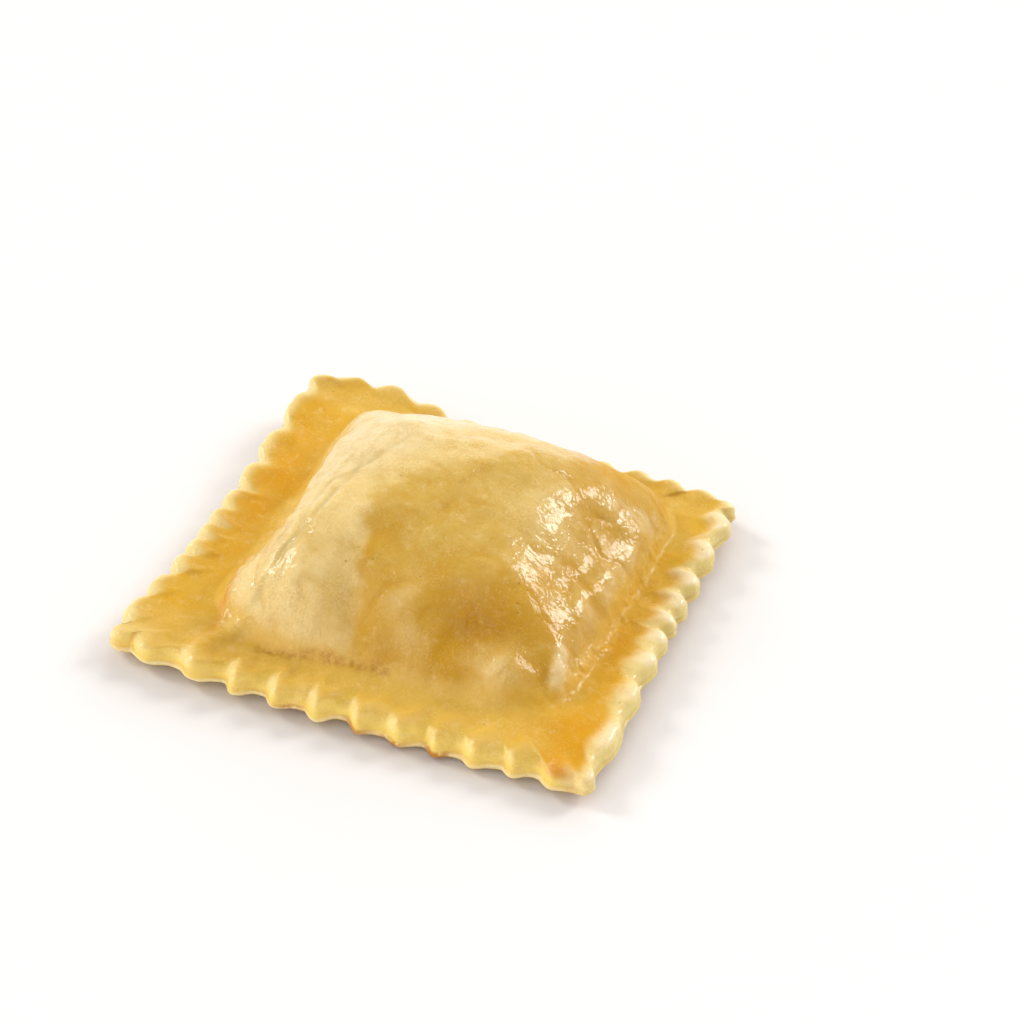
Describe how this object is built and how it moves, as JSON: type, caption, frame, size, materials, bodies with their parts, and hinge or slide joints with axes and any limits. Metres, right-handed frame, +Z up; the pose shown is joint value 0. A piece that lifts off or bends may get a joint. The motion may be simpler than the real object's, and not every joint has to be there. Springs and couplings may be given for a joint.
{
  "type": "ravioli",
  "caption": "Cooked square filled pasta: a domed pillow of egg dough over its filling, with a flat fluted rim; it lies on a flat spot of its underside.",
  "frame": {"origin": "on the table, under the middle of the square outline", "axes": "+Z up; +X along the front edge to the right; +Y from the front edge to the rear edge"},
  "size_m": [0.0614, 0.0622, 0.0173],
  "materials": {
    "pasta": "moist cooked egg dough with a thin broken wet gloss, slightly translucent"
  },
  "bodies": {
    "root": {"raviolo": "pasta"}
  },
  "joints": []
}
